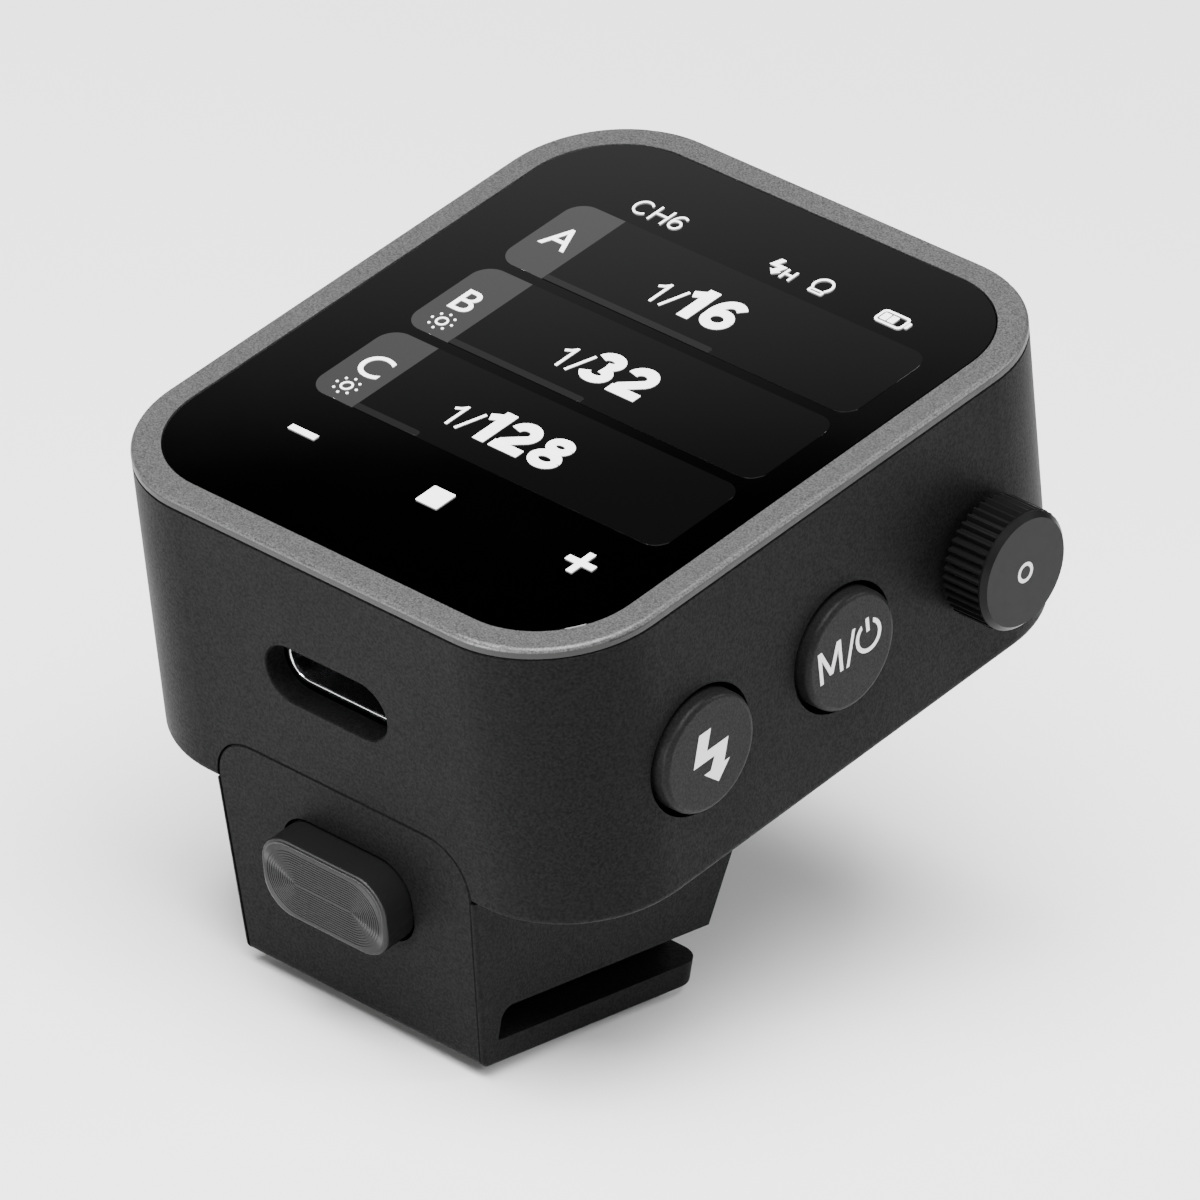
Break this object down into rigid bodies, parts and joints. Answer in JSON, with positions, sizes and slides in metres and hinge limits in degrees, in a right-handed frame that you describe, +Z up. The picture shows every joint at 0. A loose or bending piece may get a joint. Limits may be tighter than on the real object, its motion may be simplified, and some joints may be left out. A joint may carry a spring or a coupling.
{
  "type": "wireless flash trigger",
  "caption": "Compact wireless flash trigger with a tilted touch screen, side keys, push dial, USB-C port and a locking hot-shoe foot with release key.",
  "frame": {"origin": "centre of the hot-shoe foot's sole", "axes": "+Z up, normal to the sole; +Y front, the direction the foot slides into a shoe; +X the side with the keys and the dial"},
  "size_m": [0.0402, 0.0472, 0.0424],
  "materials": {
    "bezel": "satin, fine sparkle",
    "shell": "matte, fine texture",
    "foot": "matte, fine texture",
    "cover": "matte, fine texture",
    "glass": "gloss, printed black behind hard glass",
    "display": "gloss",
    "adhesive": "clear film",
    "keys": "matte",
    "dial": "satin black",
    "release": "satin, turned rings",
    "slider": "moulded, satin",
    "chassis": "die cast",
    "board": "solder mask, satin",
    "steel": "bare steel",
    "dark_screw": "blackened steel",
    "usb_metal": "polished",
    "black_resin": "moulded resin",
    "gold": "gold plated",
    "spring": "drawn wire",
    "cell": "foil pouch",
    "pad": "foam",
    "cable": "polyimide film",
    "ceramic": "fired ceramic"
  },
  "bodies": {
    "housing": {"bezel_frame": "bezel", "touch_glass": "glass", "display_panel": "display", "optical_adhesive": "adhesive", "main_shell": "shell", "display_chassis": "chassis", "chassis_screws": "steel", "main_board": "board", "board_screws": "steel", "battery_cell": "cell", "battery_pad": "pad", "battery_connector": "black_resin", "processor": "black_resin", "radio_shield": "steel", "antenna": "ceramic", "sounder": "black_resin", "display_cable": "cable", "usb_shell": "usb_metal", "usb_tongue": "black_resin", "side_board": "board", "flash_switch": "black_resin", "mode_switch": "black_resin", "encoder_body": "black_resin", "encoder_bushing": "steel", "foot_block": "foot", "foot_rear_cover": "cover", "foot_screws": "dark_screw", "spring_keeper": "steel", "keeper_screws": "dark_screw", "contact_carrier": "black_resin", "contact_board": "board", "contact_cable": "cable", "cable_connector": "black_resin"},
    "flash_button": {"flash_button": "keys"},
    "mode_button": {"mode_button": "keys"},
    "dial_carrier": {"encoder_plunger": "black_resin"},
    "dial": {"dial_knob": "dial", "dial_cap": "dial", "encoder_shaft": "steel"},
    "release": {"release_button": "release", "release_slider": "slider"},
    "lock": {"lock_pin": "steel", "lock_spring": "spring"},
    "contact_centre": {"contact_centre": "gold", "contact_centre_spring": "spring"},
    "contact_rear_left": {"contact_rear_left": "gold", "contact_rear_left_spring": "spring"},
    "contact_rear_right": {"contact_rear_right": "gold", "contact_rear_right_spring": "spring"},
    "contact_side_left": {"contact_side_left": "gold", "contact_side_left_spring": "spring"},
    "contact_side_right": {"contact_side_right": "gold", "contact_side_right_spring": "spring"}
  },
  "joints": [
    {"name": "flash_button_press", "type": "slide", "parent": "housing", "child": "flash_button", "axis": [-1, 0, 0], "range_m": [0, 0.0005], "stiffness_N_per_m": 1500, "springref_m": -0.0003},
    {"name": "mode_button_press", "type": "slide", "parent": "housing", "child": "mode_button", "axis": [-1, 0, 0], "range_m": [0, 0.0005], "stiffness_N_per_m": 1500, "springref_m": -0.0003},
    {"name": "dial_press", "type": "slide", "parent": "housing", "child": "dial_carrier", "axis": [-1, 0, 0], "range_m": [0, 0.0003], "stiffness_N_per_m": 2500, "springref_m": -0.0003},
    {"name": "dial_turn", "type": "hinge", "parent": "dial_carrier", "child": "dial", "pos_m": [0.02, 0.01781, 0.02831], "axis": [1, 0, 0], "continuous": true},
    {"name": "release_press", "type": "slide", "parent": "housing", "child": "release", "axis": [0, 0.9622, 0.2723], "range_m": [0, 0.0012]},
    {"name": "lock_pin_lift", "type": "slide", "parent": "housing", "child": "lock", "axis": [0, 0, 1], "range_m": [0, 0.00096], "stiffness_N_per_m": 120, "springref_m": -0.0006, "deforming": ["lock_spring"]},
    {"name": "contact_centre_press", "type": "slide", "parent": "housing", "child": "contact_centre", "axis": [0, 0, 1], "range_m": [0, 0.00025], "stiffness_N_per_m": 60, "springref_m": -0.0001, "deforming": ["contact_centre_spring"]},
    {"name": "contact_rear_left_press", "type": "slide", "parent": "housing", "child": "contact_rear_left", "axis": [0, 0, 1], "range_m": [0, 0.00025], "stiffness_N_per_m": 60, "springref_m": -0.0001, "deforming": ["contact_rear_left_spring"]},
    {"name": "contact_rear_right_press", "type": "slide", "parent": "housing", "child": "contact_rear_right", "axis": [0, 0, 1], "range_m": [0, 0.00025], "stiffness_N_per_m": 60, "springref_m": -0.0001, "deforming": ["contact_rear_right_spring"]},
    {"name": "contact_side_left_press", "type": "slide", "parent": "housing", "child": "contact_side_left", "axis": [0, 0, 1], "range_m": [0, 0.00025], "stiffness_N_per_m": 60, "springref_m": -0.0001, "deforming": ["contact_side_left_spring"]},
    {"name": "contact_side_right_press", "type": "slide", "parent": "housing", "child": "contact_side_right", "axis": [0, 0, 1], "range_m": [0, 0.00025], "stiffness_N_per_m": 60, "springref_m": -0.0001, "deforming": ["contact_side_right_spring"]}
  ],
  "couplings": [
    {"joint": "lock_pin_lift", "follows": "release_press", "ratio": 0.8}
  ]
}
